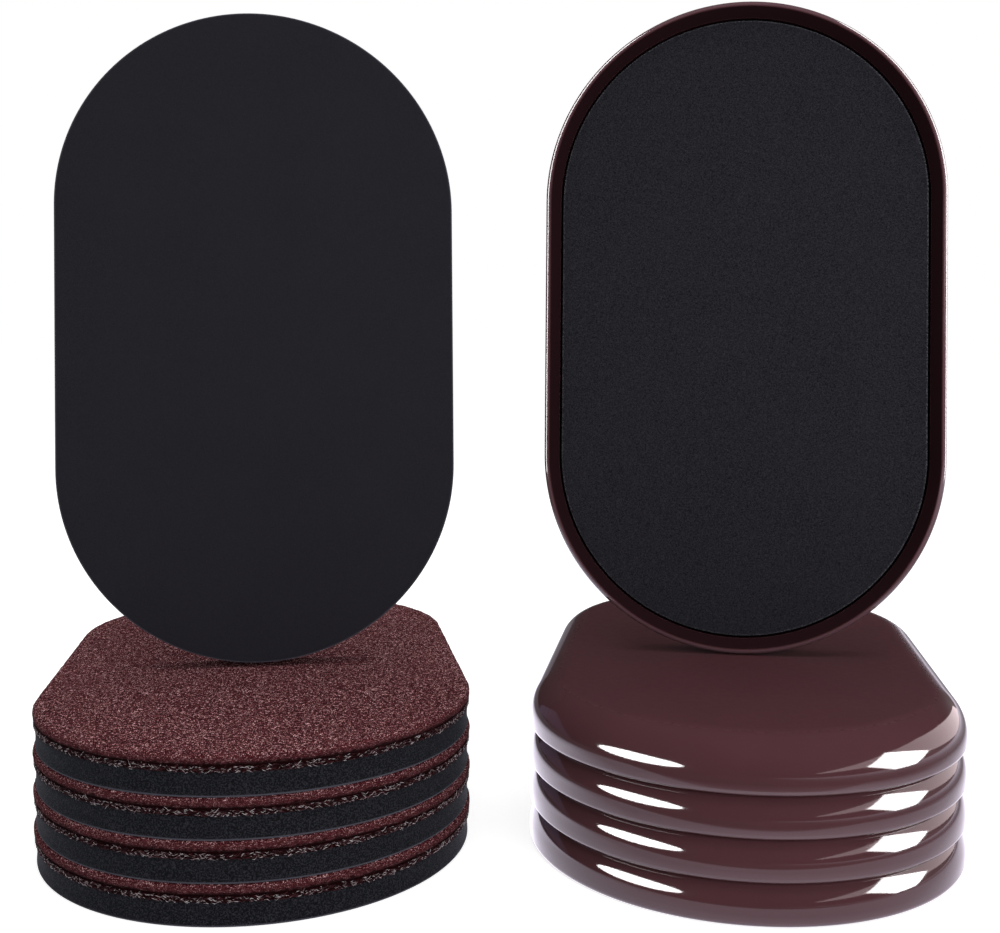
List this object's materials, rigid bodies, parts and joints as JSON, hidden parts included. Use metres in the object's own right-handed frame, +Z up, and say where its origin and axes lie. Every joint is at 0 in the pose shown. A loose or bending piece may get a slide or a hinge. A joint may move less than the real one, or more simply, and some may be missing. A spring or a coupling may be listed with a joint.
{
  "type": "furniture slider set",
  "caption": "Stadium-shaped furniture sliders: stacked felt-faced foam pads for hard floors beside stacked glossy plastic shells with foam grip pads for carpet.",
  "frame": {"origin": "on the floor, midway between the two stacks", "axes": "+Z up, +X from the felt stack to the plastic stack, -Y to the front that the upright sliders face"},
  "size_m": [0.3428, 0.2402, 0.2963],
  "materials": {
    "foam": "matte",
    "felt": "matte",
    "adhesive": "satin",
    "shell": "gloss"
  },
  "bodies": {
    "felt_slider_1": {"foam_base_1": "foam", "felt_bond_1": "adhesive", "felt_face_1": "felt"},
    "felt_slider_2": {"foam_base_2": "foam", "felt_bond_2": "adhesive", "felt_face_2": "felt"},
    "felt_slider_3": {"foam_base_3": "foam", "felt_bond_3": "adhesive", "felt_face_3": "felt"},
    "felt_slider_4": {"foam_base_4": "foam", "felt_bond_4": "adhesive", "felt_face_4": "felt"},
    "felt_slider_5": {"foam_base_5": "foam", "felt_bond_5": "adhesive", "felt_face_5": "felt"},
    "plastic_slider_1": {"glide_shell_1": "shell", "pad_bond_1": "adhesive", "grip_pad_1": "foam"},
    "plastic_slider_2": {"glide_shell_2": "shell", "pad_bond_2": "adhesive", "grip_pad_2": "foam"},
    "plastic_slider_3": {"glide_shell_3": "shell", "pad_bond_3": "adhesive", "grip_pad_3": "foam"},
    "plastic_slider_4": {"glide_shell_4": "shell", "pad_bond_4": "adhesive", "grip_pad_4": "foam"},
    "plastic_slider_5": {"glide_shell_5": "shell", "pad_bond_5": "adhesive", "grip_pad_5": "foam"}
  },
  "joints": [
    {"name": "felt_lift_2", "type": "slide", "parent": "felt_slider_1", "child": "felt_slider_2", "axis": [0, 0, 1], "range_m": [0, 0.06]},
    {"name": "felt_lift_3", "type": "slide", "parent": "felt_slider_2", "child": "felt_slider_3", "axis": [0, 0, 1], "range_m": [0, 0.06]},
    {"name": "felt_lift_4", "type": "slide", "parent": "felt_slider_3", "child": "felt_slider_4", "axis": [0, 0, 1], "range_m": [0, 0.06]},
    {"name": "felt_lift_5", "type": "slide", "parent": "felt_slider_4", "child": "felt_slider_5", "axis": [0, 0, 1], "range_m": [0, 0.12]},
    {"name": "plastic_lift_2", "type": "slide", "parent": "plastic_slider_1", "child": "plastic_slider_2", "axis": [0, 0, 1], "range_m": [0, 0.06]},
    {"name": "plastic_lift_3", "type": "slide", "parent": "plastic_slider_2", "child": "plastic_slider_3", "axis": [0, 0, 1], "range_m": [0, 0.06]},
    {"name": "plastic_lift_4", "type": "slide", "parent": "plastic_slider_3", "child": "plastic_slider_4", "axis": [0, 0, 1], "range_m": [0, 0.06]},
    {"name": "plastic_lift_5", "type": "slide", "parent": "plastic_slider_4", "child": "plastic_slider_5", "axis": [0, 0, 1], "range_m": [0, 0.12]},
    {"name": "plastic_stack_glide", "type": "slide", "parent": "felt_slider_1", "child": "plastic_slider_1", "axis": [1, 0, 0], "range_m": [0, 0.2]}
  ]
}
